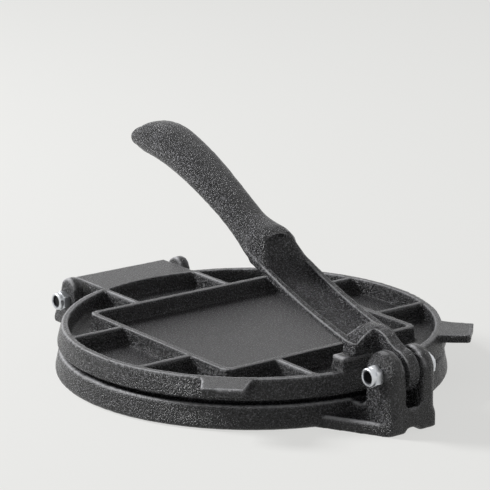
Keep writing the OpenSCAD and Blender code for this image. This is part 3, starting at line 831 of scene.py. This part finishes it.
def hex_bolt(node, name):
    """A bolt along Y with its hexagonal head at +Y and its thread at -Y."""
    middle, end, top = axis_of(node)
    seat = top - HEAD
    dish = [(0, top - DISH), (DISH_R, top - DISH), (DISH_R + 0.4, top - 0.02),
            (FLATS / 2 - 0.15, top)]
    sides = [(CORNER, top - HEAD_CHAMFER), (CORNER, top - 1.5), (CORNER, seat + 1.5),
             (CORNER, seat + 0.15), (FLATS / 2, seat)]
    heights = np.arange(end + THREAD_L, end + LEAD_IN, -PITCH / THREAD_STEPS)
    shank = [(BOLT_R, seat), (BOLT_R, end + THREAD_L + 0.5)] + [(BOLT_R, y) for y in heights]
    profile = dish + sides + shank + [(BOLT_R - END_CHAMFER, end), (0, end)]

    def cut_thread_and_flats(r, angle, y):
        ridge = np.abs((y / PITCH - angle / (2 * np.pi)) % 1 - 0.5) * 2
        on_thread = (y < end + THREAD_L) & (y > end + LEAD_IN)
        r = np.where(on_thread, r - THREAD_DEPTH * ridge, r)
        return np.where(y > seat - 0.01, np.minimum(r, hexagon(FLATS, angle)), r)

    rings = (turned(profile, 96, cut_thread_and_flats) + middle) * MM
    bolt = closed_surface(name, rings, bright_zinc)
    # A bolt's end lies in shade in its nut's collar, so it is painted dark.
    write_numbers(bolt.data, "oily", read_points(bolt.data)[:, 1] < (end + PAINTED_SHADE_END) * MM)
    return bolt


for bolt_name in ("hinge", "lever"):
    bolt = hex_bolt(bolt_name + "_bolt", bolt_name + "_hex_bolt")
    stands_for(bolt, bolt_name + "_bolt", "base")
    print(bolt.name, len(bolt.data.polygons), "faces")

# %% [markdown]
# ## A pale table
#
# The table is a plain pale sheet that only has to catch the shadow. Painted
# white and lit, it would throw its light up at the iron and turn grey where
# the lamp falls off. So part of it is an even white that is there only for the
# camera, for reflections and for clear pieces, and is ordinary paint to every
# other ray.

# %% Table
TABLE_REACH = 6.0  # m from the press to its edge
TABLE_GAP = 0.05  # mm under the press
TABLE_WHITE = "#eeeeec"
TABLE_EVEN = 0.75  # how much of its look is even white, the rest being lit paint
EVEN_LIGHT = 0.97  # strength of the even white


def background_ray(tree):
    """1 for a ray from the camera, a reflection or a clear piece, which sees the background."""
    path = add_node(tree, "ShaderNodeLightPath")
    mirrored = add_node(tree, "ShaderNodeMath", {"operation": "MAXIMUM"},
                        in0=path.outputs["Is Glossy Ray"], in1=path.outputs["Is Transmission Ray"])
    seen = add_node(tree, "ShaderNodeMath", {"operation": "MAXIMUM"},
                    in0=path.outputs["Is Camera Ray"], in1=mirrored.outputs["Value"])
    return seen.outputs["Value"]


def table_paint(name):
    """Matt white paint, mixed with an even white where the background is seen."""
    material, tree = new_material(name)
    paint = add_node(tree, "ShaderNodeBsdfDiffuse", Color=linear(TABLE_WHITE))
    even = add_node(tree, "ShaderNodeEmission", Color=linear(TABLE_WHITE), Strength=EVEN_LIGHT)
    share = add_node(tree, "ShaderNodeMath", {"operation": "MULTIPLY"},
                     in0=background_ray(tree), in1=TABLE_EVEN)
    both = add_node(tree, "ShaderNodeMixShader", in0=share.outputs["Value"],
                    in1=paint.outputs["BSDF"], in2=even.outputs["Emission"])
    add_node(tree, "ShaderNodeOutputMaterial", Surface=both.outputs["Shader"])
    return material


def pale_table():
    """One wide square, just under the press."""
    sides = np.array([(-1, -1, 0), (1, -1, 0), (1, 1, 0), (-1, 1, 0)])
    mesh = bpy.data.meshes.new("table")
    mesh.from_pydata((sides * TABLE_REACH).tolist(), [], [(0, 1, 2, 3)])
    mesh.materials.append(table_paint("pale_table_paint"))
    sheet = bpy.data.objects.new("table", mesh)
    scene.collection.objects.link(sheet)
    sheet.location.z = -TABLE_GAP * MM
    return sheet


table = pale_table()
print("table", 2 * TABLE_REACH, "m wide")

# %% [markdown]
# ## A pale room
#
# The world has two strengths for the same reason. What the camera and the
# zinc's reflections see is nearly white, and the light that it gives the iron
# is dim, because black iron in bright even light has no form.

# %% World
WORLD_LIGHT = 0.18  # what it gives the press
WORLD_SEEN = 0.85  # what is seen of it, 1 being white

world = bpy.data.worlds.new("studio")
scene.world = world
world.use_nodes = True
world.node_tree.nodes.clear()
dim = add_node(world.node_tree, "ShaderNodeBackground", Color=(1, 1, 1, 1),
               Strength=WORLD_LIGHT)
pale = add_node(world.node_tree, "ShaderNodeBackground", Color=(1, 1, 1, 1),
                Strength=WORLD_SEEN)
room = add_node(world.node_tree, "ShaderNodeMixShader", in0=background_ray(world.node_tree),
                in1=dim.outputs["Background"], in2=pale.outputs["Background"])
add_node(world.node_tree, "ShaderNodeOutputWorld", Surface=room.outputs["Shader"])
print("world: gives", WORLD_LIGHT, "and shows", WORLD_SEEN)

# %% [markdown]
# ## One soft lamp
#
# The light comes from the camera's left, a third of the way up, like that of
# a window. The left walls and the edges catch it, it rakes over the sand's
# grain, and the clevis keeps its dark front. One square lamp half a metre wide
# does that, with soft shadows. A second lamp would fill what should be dark.

# %% Lamp
LAMP_AT = (-1.25, -1.0, 1.05)  # m
LAMP_WIDTH = 0.5  # m
LAMP_POWER = 46  # W
LAMP_AIMS_AT = (0, 0, 0.04)  # m


def soft_box(name, at, width, watts):
    """A square lamp at a place in metres that faces the press."""
    light = bpy.data.lights.new(name, "AREA")
    light.shape = "SQUARE"
    light.size = width
    light.energy = watts
    lamp = bpy.data.objects.new(name, light)
    scene.collection.objects.link(lamp)
    lamp.location = at
    aim = Vector(LAMP_AIMS_AT) - lamp.location
    lamp.rotation_euler = aim.to_track_quat("-Z", "Y").to_euler()
    return lamp


key = soft_box("key", LAMP_AT, LAMP_WIDTH, LAMP_POWER)
scene.view_settings.view_transform = "Standard"
print("lamp", round(key.location.length, 2), "m from the press")
